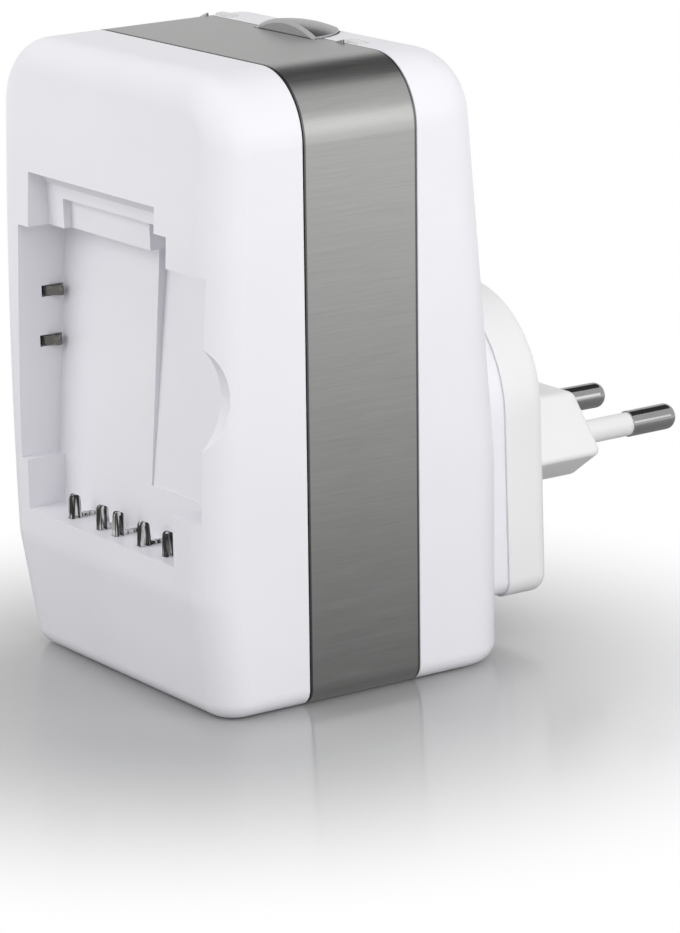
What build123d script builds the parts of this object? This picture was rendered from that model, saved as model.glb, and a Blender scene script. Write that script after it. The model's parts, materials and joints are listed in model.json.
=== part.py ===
from build123d import *
import os

# Camera battery charger: a two-shell housing with a silver band, a stepped battery bay in front,
# spring and blade contacts, a push button on top and a two-pin mains plug module at the back.
# Millimetres. +Z is up, +Y points along the mains pins, the battery bay faces -Y.
# The origin is on the base, under the middle of the silver band.

os.makedirs("parts", exist_ok=True)

# Body
body_height = 91.0
body_half_top = 31.4
body_half_bottom = 27.8
top_corner_radius = 9.6
bottom_edge_radius = 2.8
shell_wall = 2.2

# Silver band between the shells
band_width = 18.5
band_wall = 1.2
lip_gap = 0.1
lip_length = 4.0
seam_gap = 0.15
seam_depth = 0.7
seam_edge_radius = 0.2

# Front shell side profile, measured forward from the middle of the band
chin_foot = 23.6
chin_peak = 26.0
chin_height = 17.5
front_reach_middle = 25.36
front_middle_height = 45.0
front_reach_top = 22.4
chin_crease_radius = 14.0
front_edge_radius = 5.0

# Rear shell side profile, measured backward from the middle of the band
rear_reach = 26.0
rear_bend_height = 31.0
rear_reach_top = 20.7
rear_bend_radius = 40.0
rear_edge_radius = 7.5

# Battery bay
bay_left_margin = 8.0
bay_side_wall = 2.6
bay_top = 64.0
ledge_height = 21.8
bay_depth_low = 5.95
bay_depth_high = 9.65
floor_split = 3.2
floor_step = 1.4
floor_step_low = 0.25
bay_back_wall = 1.8
corner_block_height = 7.4
left_block = 1.8
right_block_from = 19.5

# Stepped lintel over the bay
lintel_inset = 2.9
lintel_right = 14.9
lintel_top = 72.1
lintel_slope = 2.0
lintel_back = -20.9
step_inset = 7.4
step_right = 18.2
step_top = 68.4
step_back = -19.6
pocket_left = 6.1
pocket_back = -16.9

# Thumb notch in the right wall of the bay
notch_radius = 10.2
notch_height = 47.2
notch_bottom_y = -21.7

# Blade contacts on the ledge
blade_places = [-12.8, -4.7, -0.2, 6.9, 13.8]
blade_strip = 0.45
blade_width = 1.2
blade_front = -23.85
blade_pitch = 1.2
blade_lean = 0.2
blade_stand = 3.5
blade_root = 5.0
blade_gap = 0.1
tail_width = 0.7
carrier_height = 2.2
carrier_setback = 0.9
carrier_margin = 2.4
carrier_back = 1.6
ribbon_thickness = 0.5

# Leaf contacts in the left wall of the bay
leaf_heights = {"upper": 53.5, "lower": 46.1}
leaf_height = 1.4
leaf_strip = 0.5
leaf_gap = 0.15
leaf_root_ahead = 6.1
leaf_root_depth = 1.2
leaf_root_radius = 0.5
leaf_skin = 0.5
leaf_window_ahead = 3.8
leaf_knee_ahead = 3.3
leaf_crown_ahead = 1.1
leaf_tip_ahead = 0.8
leaf_reach = 1.5
leaf_cavity_depth = 2.2
leaf_cavity_end = 0.1

# Plug module
module_half_width = 17.3
module_bottom = 5.4
module_arch_height = 33.5
module_corner_radius = 3.0
module_seat = 32.8
module_thickness = 7.4
module_edge_radius = 2.2
nub_half_width = 16.9
nub_flat_half = 10.0
nub_rise = 7.0
nub_fall = 5.8
nub_ridge_drop = 1.2
nub_length = 10.8
nub_corner_radius = 1.6
nub_ridge_radius = 0.8
nub_edge_radius = 1.6
boss_inset = 0.4

# Mains pins, set to the two-pin plug standard
pin_height = 26.2
pin_radius = 2.0
pin_length = 18.5
pin_tip_length = 8.6
pin_shank_radius = 1.45
pin_end_radius = 1.5
pin_half_pitch_face = 9.3
pin_half_pitch_tip = 8.95
sleeve_radius = 1.8
sleeve_root = 4.0
bore_start = 1.0
pin_fit = 0.05

# Push button and its switch
button_radius = 7.8
button_front = 7.8
button_gap = 0.25
button_rise = 0.3
button_crown = 1.7
button_edge_radius = 0.6
button_travel = 0.8
flange_half_width = 9.6
flange_depth = 2.8
flange_thickness = 1.0
flange_gap = 0.1
stem_radius = 1.5
switch_y = 11.4
switch_size = (6.0, 4.0)
switch_drop = 14.0
plunger_radius = 1.0
plunger_rise = 2.6
plunger_root = 1.0
plunger_gap = 0.05

# Indicator lights
light_left_margin = 10.8
light_right_place = 14.0
light_y = 10.8
light_width = 4.2
light_depth = 1.8
light_rise = 0.3
light_gap = 0.1
led_size = (3.0, 3.4, 3.0)
led_drop = 13.0

# Circuit board and what stands on it
board_half_width = 22.0
board_bottom = 9.0
board_drop = 9.0
board_front = 7.2
board_thickness = 1.6
seat_gap = 0.05
core_size = (16.0, 10.6, 16.0)
core_height = 58.5
core_leg = 3.4
core_back_leg = 2.6
winding_side = 1.0
mains_cap_radius = 4.0
mains_cap_length = 15.0
mains_cap_place = (-14.4, 13.0)
output_cap_radius = 3.2
output_cap_length = 11.0
output_cap_place = (9.5, 60.0)
fuse_radius = 1.9
fuse_length = 13.0
fuse_place = (14.8, 13.0)
fuse_cap_length = 2.6
bridge_size = (8.4, 5.4, 5.8)
bridge_place = (14.5, 48.4)
chip_size = (5.0, 1.6, 4.2)
chip_place = (-6.0, 33.0)
terminal_strip = 0.8
terminal_height = 3.0
terminal_foot = 3.6
terminal_gap = 0.2

# Case screws under the plug module
screw_place = (9.5, 41.0)
post_radius = 3.6
screw_head_radius = 2.4
screw_head_height = 1.8
screw_radius = 1.25
screw_seat = 16.0
screw_bite = 9.0
screw_gap = 0.2
pilot_gap = 0.02

# Values that follow from the sizes above
parting = band_width / 2
board_back = board_front + board_thickness
side_lean = (body_half_top - body_half_bottom) / body_height
inner_top = body_height - shell_wall
switch_bottom = body_height - switch_drop
led_bottom = body_height - led_drop
board_top = body_height - board_drop
bay_left = bay_left_margin - body_half_top
light_places = {"left": light_left_margin - body_half_top, "right": light_right_place}
lintel_left = bay_left + lintel_inset
step_left = bay_left + step_inset
ledge_underside = ledge_height - shell_wall
module_face = module_seat + module_thickness
nub_face = module_face + nub_length
bay_floor_low = -chin_peak + bay_depth_low
bay_floor_high = -chin_peak + bay_depth_high
far = 3 * body_height


def export(piece, name):
    """Label a finished piece and write it as a node of its own."""
    piece.label = name
    export_step(piece, f"parts/{name}.step")


def half_width(z):
    """Half the body's width at a height."""
    return body_half_bottom + side_lean * z


# Outlines and blocks that several pieces share

def body_outline(inset, bottom_radius):
    """Front view of the body: sides that lean outward, rounded top corners."""
    with BuildSketch() as outline:
        with BuildLine():
            Polyline(
                (-body_half_bottom, 0),
                (body_half_bottom, 0),
                (body_half_top, body_height),
                (-body_half_top, body_height),
                close=True,
            )
        make_face()
        fillet(outline.vertices().group_by(Axis.Y)[-1], top_corner_radius)
        if bottom_radius > 0:
            fillet(outline.vertices().group_by(Axis.Y)[0], bottom_radius)
        if inset > 0:
            offset(amount=-inset, kind=Kind.INTERSECTION)
    return outline.sketch


def front_block(inset):
    """Outer form of the front shell, or its hollow when inset by the wall."""
    with BuildPart() as block:
        with BuildSketch(Plane.XZ.offset(parting)):
            add(body_outline(inset, 0))
        extrude(amount=chin_peak)
        with BuildSketch(Plane.YZ) as profile:
            with BuildLine():
                Polyline(
                    (-front_reach_top, body_height),
                    (chin_peak, body_height),
                    (chin_peak, 0),
                    (-chin_foot, 0),
                    (-chin_peak, chin_height),
                )
                ThreePointArc(
                    (-chin_peak, chin_height),
                    (-front_reach_middle, front_middle_height),
                    (-front_reach_top, body_height),
                )
            make_face()
            fillet(profile.vertices().sort_by(Axis.X)[0], chin_crease_radius)
            if inset > 0:
                offset(amount=-inset, kind=Kind.INTERSECTION)
        extrude(amount=body_half_top, both=True, mode=Mode.INTERSECT)
        level_edges = block.edges().filter_by(Axis.X)
        fillet(level_edges.group_by(Axis.Z)[-1].sort_by(Axis.Y)[0], front_edge_radius - inset)
        level_edges = block.edges().filter_by(Axis.X)
        fillet(level_edges.group_by(Axis.Z)[0].sort_by(Axis.Y)[0], bottom_edge_radius - inset)
    return block.part


def rear_block(inset):
    """Outer form of the rear shell without its boss, or its hollow when inset by the wall."""
    with BuildPart() as block:
        with BuildSketch(Plane.XZ.offset(-parting)):
            add(body_outline(inset, 0))
        extrude(amount=-rear_reach)
        with BuildSketch(Plane.YZ) as profile:
            with BuildLine():
                Polyline(
                    (-rear_reach, 0),
                    (rear_reach, 0),
                    (rear_reach, rear_bend_height),
                    (rear_reach_top, body_height),
                    (-rear_reach, body_height),
                    close=True,
                )
            make_face()
            bend = profile.vertices().filter_by_position(Axis.Y, 1, body_height - 1)
            fillet(bend, rear_bend_radius)
            if inset > 0:
                offset(amount=-inset, kind=Kind.INTERSECTION)
        extrude(amount=body_half_top, both=True, mode=Mode.INTERSECT)
        level_edges = block.edges().filter_by(Axis.X)
        fillet(level_edges.group_by(Axis.Z)[-1].sort_by(Axis.Y)[-1], rear_edge_radius - inset)
        level_edges = block.edges().filter_by(Axis.X)
        fillet(level_edges.group_by(Axis.Z)[0].sort_by(Axis.Y)[-1], bottom_edge_radius - inset)
    return block.part


def lip(start, length):
    """Thin rim of a shell that slips inside the band."""
    with BuildPart() as rim:
        with BuildSketch(Plane.XZ.offset(-start)):
            add(body_outline(band_wall + lip_gap, bottom_edge_radius))
            add(body_outline(shell_wall, bottom_edge_radius), mode=Mode.SUBTRACT)
        extrude(amount=-length)
    return rim.part


def seam_ring(direction):
    """Shallow rebate round the rim of a shell, which leaves a fine seam beside the band."""
    with BuildPart() as ring:
        with BuildSketch(Plane.XZ.offset(-direction * parting)):
            Rectangle(2 * far, 2 * far)
            add(body_outline(seam_depth, bottom_edge_radius), mode=Mode.SUBTRACT)
        extrude(amount=-direction * seam_gap)
    return ring.part


def seam_edges(shell, direction):
    """Outer edges of a shell along its seam."""
    rim = direction * (parting + seam_gap)
    upright = shell.faces().filter_by(Axis.Y)
    faces = upright.filter_by_position(Axis.Y, rim - seam_gap / 2, rim + seam_gap / 2)
    return faces.sort_by(SortBy.AREA)[-1].outer_wire().edges()


def button_well():
    """Half-round opening for the push button, across the seam between the band and the rear shell."""
    with BuildPart() as well:
        with BuildSketch(Plane.XY.offset(body_height)):
            with Locations((0, button_front)):
                Circle(button_radius + button_gap)
            with Locations((0, button_front - button_gap)):
                Rectangle(2 * far, far, align=(Align.CENTER, Align.MAX), mode=Mode.SUBTRACT)
        extrude(amount=-2 * shell_wall)
    return well.part


def tombstone(inset):
    """Arched outline of the plug module, seen from behind."""
    with BuildSketch() as arch:
        with Locations((0, module_arch_height)):
            Circle(module_half_width)
        with Locations((0, (module_bottom + module_arch_height) / 2)):
            Rectangle(2 * module_half_width, module_arch_height - module_bottom)
        fillet(arch.vertices().group_by(Axis.Y)[0], module_corner_radius)
        if inset > 0:
            offset(amount=-inset, kind=Kind.INTERSECTION)
    return arch.sketch


def floor_y(z, deeper):
    """Where the bay's leaning floor lies at a height."""
    rise = (bay_floor_high - bay_floor_low) / (bay_top - ledge_height)
    return bay_floor_low + rise * (z - ledge_height) + deeper


def bay_wedge(low, high, deeper_low, deeper_high):
    """Everything in front of the bay's leaning floor between two heights."""
    with BuildPart() as wedge:
        with BuildSketch(Plane.YZ):
            with BuildLine():
                Polyline(
                    (-far, low),
                    (floor_y(low, deeper_low), low),
                    (floor_y(high, deeper_high), high),
                    (-far, high),
                    close=True,
                )
            make_face()
        extrude(amount=far, both=True)
    return wedge.part


def pocket(left, right, low, high, back):
    """A straight-walled recess that runs in from the front to a given depth."""
    with BuildPart() as recess:
        with BuildSketch(Plane.XZ.offset(-back)):
            with Locations(((left + right) / 2, (low + high) / 2)):
                Rectangle(right - left, high - low)
        extrude(amount=body_height)
    return recess.part


def bay_space():
    """The open space of the battery bay with its corner blocks and stepped floor."""
    right_low = half_width(ledge_height + corner_block_height) - bay_side_wall
    right_high = half_width(bay_top) - bay_side_wall
    block_top = ledge_height + corner_block_height
    with BuildPart() as space:
        with BuildSketch(Plane.XZ):
            with BuildLine():
                Polyline(
                    (bay_left + left_block, ledge_height),
                    (right_block_from, ledge_height),
                    (right_block_from, block_top),
                    (right_low, block_top),
                    (right_high, bay_top),
                    (bay_left, bay_top),
                    (bay_left, block_top),
                    (bay_left + left_block, block_top),
                    close=True,
                )
            make_face()
        extrude(amount=body_height)
        add(bay_wedge(ledge_height, bay_top, 0, 0), mode=Mode.INTERSECT)
    return space.part


def deep_side():
    """The right part of the bay, whose floor falls away from the left part towards the top."""
    right_low = half_width(ledge_height + corner_block_height) - bay_side_wall
    right_high = half_width(bay_top) - bay_side_wall
    block_top = ledge_height + corner_block_height
    with BuildPart() as space:
        with BuildSketch(Plane.XZ):
            with BuildLine():
                Polyline(
                    (floor_split, block_top),
                    (right_low, block_top),
                    (right_high, bay_top),
                    (floor_split, bay_top),
                    close=True,
                )
            make_face()
        extrude(amount=body_height)
        add(bay_wedge(block_top, bay_top, floor_step_low, floor_step), mode=Mode.INTERSECT)
    return space.part


def lintel_space():
    """The stepped recesses over the bay, the first with a sloping ceiling."""
    with BuildPart() as space:
        with BuildSketch(Plane.YZ.offset(lintel_left)):
            with BuildLine():
                Polyline(
                    (lintel_back, bay_top - 1),
                    (lintel_back, lintel_top - lintel_slope),
                    (-front_reach_top, lintel_top),
                    (-far, lintel_top),
                    (-far, bay_top - 1),
                    close=True,
                )
            make_face()
        extrude(amount=lintel_right - lintel_left)
        add(pocket(step_left, step_right, bay_top - 1, step_top, step_back))
        add(pocket(pocket_left, step_right, bay_top - 1, step_top, pocket_back))
    return space.part


def leaf_slot(height):
    """Cavity in the bay's left wall for a leaf contact, with the window that the leaf looks out of."""
    floor = floor_y(height, 0)
    cavity_front = floor - leaf_root_ahead - leaf_root_radius - leaf_gap
    cavity_left = bay_left - leaf_cavity_depth
    with BuildPart() as slot:
        with BuildSketch(Plane.XY.offset(height - leaf_height / 2 - leaf_gap)):
            with Locations((cavity_left, cavity_front)):
                Rectangle(
                    leaf_cavity_depth - leaf_skin,
                    floor - leaf_cavity_end - cavity_front,
                    align=(Align.MIN, Align.MIN),
                )
            with Locations((cavity_left, floor - leaf_window_ahead)):
                Rectangle(
                    leaf_cavity_depth + leaf_strip,
                    leaf_window_ahead - leaf_cavity_end,
                    align=(Align.MIN, Align.MIN),
                )
        extrude(amount=leaf_height + 2 * leaf_gap)
    return slot.part


# Front shell: hollow moulding with the battery bay pressed into its face

with BuildPart() as bay_core:
    add(front_block(0))
    core_depth = floor_step + bay_back_wall
    add(bay_wedge(ledge_underside, lintel_top + shell_wall, core_depth, core_depth), mode=Mode.INTERSECT)

with BuildPart() as front_hollow:
    add(front_block(shell_wall))
    add(bay_core.part, mode=Mode.SUBTRACT)

with BuildPart() as front_shell:
    add(front_block(0))
    add(front_hollow.part, mode=Mode.SUBTRACT)
    # Seam beside the band
    add(seam_ring(-1), mode=Mode.SUBTRACT)
    fillet(seam_edges(front_shell, -1), seam_edge_radius)
    add(lip(-parting, lip_length))
    # Posts that carry the board and take the case screws
    post_start = floor_y(screw_place[1], floor_step) + bay_back_wall / 2
    with BuildSketch(Plane.XZ.offset(-board_front)):
        with Locations((-screw_place[0], screw_place[1]), screw_place):
            Circle(post_radius)
    extrude(amount=board_front - post_start)
    with BuildSketch(Plane.XZ.offset(-board_front)):
        with Locations((-screw_place[0], screw_place[1]), screw_place):
            Circle(screw_radius + pilot_gap)
    extrude(amount=screw_bite + screw_gap, mode=Mode.SUBTRACT)
    # Bay, lintel and thumb notch
    add(bay_space(), mode=Mode.SUBTRACT)
    add(deep_side(), mode=Mode.SUBTRACT)
    add(lintel_space(), mode=Mode.SUBTRACT)
    with BuildSketch(Plane.YZ.offset(right_block_from)):
        with Locations((notch_bottom_y - notch_radius, notch_height)):
            Circle(notch_radius)
    extrude(amount=body_half_top, mode=Mode.SUBTRACT)
    # Slots for the leaf contacts and for the blades' legs
    for height in leaf_heights.values():
        add(leaf_slot(height), mode=Mode.SUBTRACT)
    with BuildSketch(Plane.XY.offset(ledge_height)):
        for place in blade_places:
            with Locations((place, blade_front), (place, blade_front + blade_pitch)):
                Rectangle(blade_width + 2 * blade_gap, blade_strip + 2 * blade_gap)
    extrude(amount=-blade_root - blade_gap, mode=Mode.SUBTRACT)
export(front_shell.part, "front_shell")

# Silver band: one bent and brushed strip that closes on itself

with BuildPart() as trim_band:
    with BuildSketch(Plane.XZ.offset(-parting)):
        add(body_outline(0, bottom_edge_radius))
        add(body_outline(band_wall, bottom_edge_radius), mode=Mode.SUBTRACT)
    extrude(amount=band_width)
    add(button_well(), mode=Mode.SUBTRACT)
export(trim_band.part, "trim_band")

# Rear shell: hollow moulding with a boss for the plug module and the top openings

with BuildPart() as rear_hollow:
    add(rear_block(shell_wall))
    with BuildSketch(Plane.XZ.offset(-parting)):
        add(tombstone(boss_inset + shell_wall))
    extrude(amount=-(module_seat - shell_wall - parting))

with BuildPart() as screw_tubes:
    with BuildSketch(Plane.XZ.offset(-board_back)):
        with Locations((-screw_place[0], screw_place[1]), screw_place):
            Circle(post_radius)
    extrude(amount=-(module_seat - board_back))

with BuildPart() as rear_shell:
    add(rear_block(0))
    with BuildSketch(Plane.XZ.offset(-parting)):
        add(tombstone(boss_inset))
    extrude(amount=-(module_seat - parting))
    add(rear_hollow.part, mode=Mode.SUBTRACT)
    # Seam beside the band
    add(seam_ring(1), mode=Mode.SUBTRACT)
    fillet(seam_edges(rear_shell, 1), seam_edge_radius)
    add(lip(parting, -lip_length))
    add(screw_tubes.part)
    # Deep counterbores and clearance holes for the case screws
    with BuildSketch(Plane.XZ.offset(-module_seat)):
        with Locations((-screw_place[0], screw_place[1]), screw_place):
            Circle(screw_head_radius + screw_gap)
    extrude(amount=module_seat - screw_seat, mode=Mode.SUBTRACT)
    with BuildSketch(Plane.XZ.offset(-screw_seat)):
        with Locations((-screw_place[0], screw_place[1]), screw_place):
            Circle(screw_radius + screw_gap)
    extrude(amount=screw_seat - board_back, mode=Mode.SUBTRACT)
    # Slots for the mains terminals
    with BuildSketch(Plane.XZ.offset(-module_seat)):
        with Locations((-pin_half_pitch_face, pin_height), (pin_half_pitch_face, pin_height)):
            Rectangle(terminal_strip + 2 * terminal_gap, terminal_height + 2 * terminal_gap)
    extrude(amount=2 * shell_wall, mode=Mode.SUBTRACT)
    # Button well and light openings in the top
    add(button_well(), mode=Mode.SUBTRACT)
    with BuildSketch(Plane.XY.offset(body_height)):
        for place in light_places.values():
            with Locations((place, light_y)):
                RectangleRounded(light_width + 2 * light_gap, light_depth + 2 * light_gap, light_depth / 3)
    extrude(amount=-2 * shell_wall, mode=Mode.SUBTRACT)
export(rear_shell.part, "rear_shell")

# Plug module: arched plate with the nub that carries the pins

pin_planes = {
    "left": Plane(
        (-pin_half_pitch_face, nub_face, pin_height),
        x_dir=(0, 0, 1),
        z_dir=(pin_half_pitch_face - pin_half_pitch_tip, pin_length, 0),
    ),
    "right": Plane(
        (pin_half_pitch_face, nub_face, pin_height),
        x_dir=(0, 0, 1),
        z_dir=(pin_half_pitch_tip - pin_half_pitch_face, pin_length, 0),
    ),
}
pin_root = nub_face - module_seat


def nub_outline():
    """Flattened hexagon of the plug's nub, with a ridge along each side."""
    ridge_z = pin_height - nub_ridge_drop
    with BuildSketch() as hexagon:
        with BuildLine():
            Polyline(
                (-nub_flat_half, pin_height + nub_rise),
                (nub_flat_half, pin_height + nub_rise),
                (nub_half_width, ridge_z),
                (nub_flat_half, pin_height - nub_fall),
                (-nub_flat_half, pin_height - nub_fall),
                (-nub_half_width, ridge_z),
                close=True,
            )
        make_face()
        ridges = hexagon.vertices().group_by(Axis.Y)[1]
        fillet(ridges, nub_ridge_radius)
        flats = hexagon.vertices().filter_by_position(Axis.X, -nub_flat_half - 0.01, nub_flat_half + 0.01)
        fillet(flats, nub_corner_radius)
    return hexagon.sketch


with BuildPart() as plug_module:
    with BuildSketch(Plane.XZ.offset(-module_seat)):
        add(tombstone(0))
    extrude(amount=-module_thickness)
    fillet(plug_module.faces().sort_by(Axis.Y)[-1].edges(), module_edge_radius)
    with BuildSketch(Plane.XZ.offset(-module_face)):
        add(nub_outline())
    extrude(amount=-nub_length)
    fillet(plug_module.faces().sort_by(Axis.Y)[-1].edges(), nub_edge_radius)
    with BuildSketch(Plane.XZ.offset(-module_face)):
        add(nub_outline())
    extrude(amount=module_edge_radius)
    for pin_plane in pin_planes.values():
        with BuildSketch(pin_plane.offset(bore_start)):
            Circle(pin_shank_radius + pin_fit)
        extrude(amount=-2 * pin_root, mode=Mode.SUBTRACT)
        with BuildSketch(pin_plane.offset(bore_start)):
            Circle(sleeve_radius + pin_fit)
        extrude(amount=-sleeve_root - bore_start, mode=Mode.SUBTRACT)
export(plug_module.part, "plug_module")

for side, pin_plane in pin_planes.items():
    with BuildPart() as plug_pin:
        with BuildSketch(pin_plane.offset(pin_length - pin_tip_length)):
            Circle(pin_radius)
        extrude(amount=pin_tip_length)
        fillet(plug_pin.edges().sort_by(Axis.Y)[-1], pin_end_radius)
        with BuildSketch(pin_plane.offset(pin_length - pin_tip_length)):
            Circle(pin_shank_radius)
        extrude(amount=-(pin_length - pin_tip_length) - pin_root + seat_gap)
    export(plug_pin.part, f"plug_pin_{side}")

    with BuildPart() as pin_sleeve:
        with BuildSketch(pin_plane.offset(-sleeve_root)):
            Circle(sleeve_radius)
            Circle(pin_shank_radius + pin_fit, mode=Mode.SUBTRACT)
        extrude(amount=sleeve_root + pin_length - pin_tip_length)
    export(pin_sleeve.part, f"pin_sleeve_{side}")

# Push button: crowned half-moon cap, retaining flange and stem in one moulding

button_top = body_height + button_rise + button_crown
switch_top = switch_bottom + switch_size[1]
crown_radius = (button_radius**2 + button_crown**2) / (2 * button_crown)
flange_top = inner_top - flange_gap

with BuildPart() as push_button:
    with BuildSketch(Plane.XY.offset(flange_top - flange_thickness)):
        with Locations((0, button_front)):
            Circle(button_radius)
            Rectangle(2 * far, far, align=(Align.CENTER, Align.MAX), mode=Mode.SUBTRACT)
    extrude(amount=button_top - flange_top + flange_thickness)
    with Locations((0, button_front, button_top - crown_radius)):
        Sphere(crown_radius, mode=Mode.INTERSECT)
    fillet(push_button.faces().sort_by(Axis.Y)[0].edges().sort_by(Axis.Z)[-1], button_edge_radius)
    with BuildSketch(Plane.XY.offset(flange_top)):
        with Locations((0, button_front)):
            Rectangle(2 * flange_half_width, flange_depth, align=(Align.CENTER, Align.MIN))
    extrude(amount=-flange_thickness)
    with BuildSketch(Plane.XY.offset(flange_top - flange_thickness)):
        with Locations((0, switch_y)):
            Circle(stem_radius)
    extrude(amount=-(flange_top - flange_thickness - switch_top - plunger_rise))
export(push_button.part, "push_button")

with BuildPart() as tact_switch:
    with BuildSketch(Plane.XY.offset(switch_bottom)):
        with Locations((0, switch_y)):
            Rectangle(switch_size[0], 2 * (switch_y - board_back))
    extrude(amount=switch_size[1])
    fillet(tact_switch.edges().filter_by(Axis.Z), plunger_gap * 6)
    with BuildSketch(Plane.XY.offset(switch_top)):
        with Locations((0, switch_y)):
            Circle(plunger_radius + plunger_gap)
    extrude(amount=-(plunger_root + button_travel + plunger_gap), mode=Mode.SUBTRACT)
export(tact_switch.part, "tact_switch")

with BuildPart() as switch_plunger:
    with BuildSketch(Plane.XY.offset(switch_top - plunger_root)):
        with Locations((0, switch_y)):
            Circle(plunger_radius)
    extrude(amount=plunger_root + plunger_rise)
export(switch_plunger.part, "switch_plunger")

# Indicator lights: a light pipe in the top over a lamp on the board

led_top = led_bottom + led_size[2]
for side, place in light_places.items():
    with BuildPart() as light_window:
        with BuildSketch(Plane.XY.offset(led_top + light_gap)):
            with Locations((place, light_y)):
                RectangleRounded(light_width, light_depth, light_depth / 3)
        extrude(amount=body_height + light_rise - led_top - light_gap)
        fillet(light_window.faces().sort_by(Axis.Z)[-1].edges(), light_rise)
    export(light_window.part, f"light_window_{side}")

    with BuildPart() as indicator_led:
        with BuildSketch(Plane.XY.offset(led_bottom)):
            with Locations((place, board_back)):
                Rectangle(led_size[0], led_size[1], align=(Align.CENTER, Align.MIN))
        extrude(amount=led_size[2])
        chamfer(indicator_led.faces().sort_by(Axis.Z)[-1].edges(), light_rise)
    export(indicator_led.part, f"indicator_led_{side}")

# Blade contacts: folded strips that stand on the ledge, held in a carrier under it

blade_top = ledge_height + blade_stand
blade_back = blade_front + blade_pitch
blade_bend = (blade_pitch - 2 * blade_lean) * 0.45
for number, place in enumerate(blade_places, start=1):
    with BuildPart() as floor_contact:
        with BuildSketch(Plane.YZ.offset(place - blade_width / 2)):
            with BuildLine():
                FilletPolyline(
                    (blade_front, ledge_height - blade_root),
                    (blade_front, ledge_height),
                    (blade_front + blade_lean, blade_top - blade_strip / 2),
                    (blade_back - blade_lean, blade_top - blade_strip / 2),
                    (blade_back, ledge_height),
                    (blade_back, ledge_height - blade_root),
                    radius=blade_bend,
                )
            trace(line_width=blade_strip)
        extrude(amount=blade_width)
        with BuildSketch(Plane.XY.offset(ledge_height + seat_gap)):
            with Locations((place, blade_back)):
                Rectangle(
                    tail_width,
                    floor_y(ledge_height, 0) - blade_back - seat_gap,
                    align=(Align.CENTER, Align.MIN),
                )
        extrude(amount=blade_strip)
    export(floor_contact.part, f"floor_contact_{number}")

carrier_left = blade_places[0] - carrier_margin
carrier_right = blade_places[-1] + carrier_margin
carrier_front = blade_front + carrier_setback
carrier_rear = blade_front + blade_pitch + carrier_back
with BuildPart() as contact_carrier:
    with BuildSketch(Plane.XY.offset(ledge_underside - seat_gap)):
        with Locations(((carrier_left + carrier_right) / 2, carrier_front)):
            Rectangle(
                carrier_right - carrier_left,
                carrier_rear - carrier_front,
                align=(Align.CENTER, Align.MIN),
            )
        for place in blade_places:
            with Locations((place, blade_front + blade_pitch)):
                Rectangle(blade_width + 2 * blade_gap, blade_strip + 2 * blade_gap, mode=Mode.SUBTRACT)
    extrude(amount=-carrier_height)
export(contact_carrier.part, "contact_carrier")

with BuildPart() as contact_ribbon:
    with BuildSketch(Plane.XY.offset(ledge_underside - seat_gap - carrier_height / 2)):
        with Locations(((carrier_left + carrier_right) / 2, carrier_rear)):
            Rectangle(
                carrier_right - carrier_left,
                board_front - carrier_rear,
                align=(Align.CENTER, Align.MIN),
            )
    extrude(amount=-ribbon_thickness)
export(contact_ribbon.part, "contact_ribbon")

# Leaf contacts: bent strips rooted in the left wall of the bay

leaf_root_x = bay_left - leaf_root_depth
for level, height in leaf_heights.items():
    floor = floor_y(height, 0)
    with BuildPart() as wall_contact:
        with BuildSketch(Plane.XY.offset(height - leaf_height / 2)):
            with BuildLine():
                FilletPolyline(
                    (leaf_root_x, floor - leaf_root_ahead),
                    (leaf_root_x, floor - leaf_knee_ahead),
                    (bay_left + leaf_reach, floor - leaf_crown_ahead),
                    (bay_left + leaf_strip, floor - leaf_tip_ahead),
                    radius=leaf_strip / 2,
                )
            trace(line_width=leaf_strip)
            with Locations((leaf_root_x, floor - leaf_root_ahead)):
                Circle(leaf_root_radius)
        extrude(amount=leaf_height)
    export(wall_contact.part, f"wall_contact_{level}")

# Circuit board, clamped between the posts of the two shells

with BuildPart() as circuit_board:
    with BuildSketch(Plane.XZ.offset(-board_back)) as board_face:
        with Locations((0, (board_bottom + board_top) / 2)):
            Rectangle(2 * board_half_width, board_top - board_bottom)
        fillet(board_face.vertices(), board_thickness)
        with Locations((-screw_place[0], screw_place[1]), screw_place):
            Circle(screw_radius + screw_gap, mode=Mode.SUBTRACT)
    extrude(amount=board_thickness)
export(circuit_board.part, "circuit_board")


def on_board(size, place, front=False):
    """A rounded block that sits on one face of the board."""
    face = board_front - seat_gap if front else board_back + seat_gap
    with BuildPart() as block:
        with BuildSketch(Plane.XZ.offset(-face)):
            with Locations((place[0], place[1])):
                Rectangle(size[0], size[2])
        extrude(amount=size[1] if front else -size[1])
        fillet(block.edges().filter_by(Axis.Y), seat_gap * 8)
    return block.part


def lying_can(radius, length, place, front=False):
    """An upright round can that lies against one face of the board."""
    face = board_front - seat_gap - radius if front else board_back + seat_gap + radius
    with BuildPart() as can:
        with BuildSketch(Plane.XY.offset(place[1])):
            with Locations((place[0], face)):
                Circle(radius)
        extrude(amount=length)
        fillet(can.edges().sort_by(Axis.Z)[-1], radius / 8)
    return can.part


# Transformer: a ferrite frame round a wound bobbin

core_face = board_back + seat_gap
with BuildPart() as transformer_core:
    with BuildSketch(Plane.XZ.offset(-core_face)):
        with Locations((0, core_height)):
            Rectangle(core_size[0], core_size[2])
            Rectangle(core_size[0] - 2 * core_leg, core_size[2] - 2 * core_leg, mode=Mode.SUBTRACT)
    extrude(amount=-core_size[1])
export(transformer_core.part, "transformer_core")

winding_half = core_size[0] / 2 - core_leg - seat_gap
with BuildPart() as transformer_winding:
    with BuildSketch(Plane.XZ.offset(-core_face)):
        with Locations((0, core_height)):
            RectangleRounded(2 * winding_half, core_size[2] - 2 * core_leg - 2 * seat_gap, winding_side)
    extrude(amount=-core_size[1] + core_back_leg)
export(transformer_winding.part, "transformer_winding")

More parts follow.
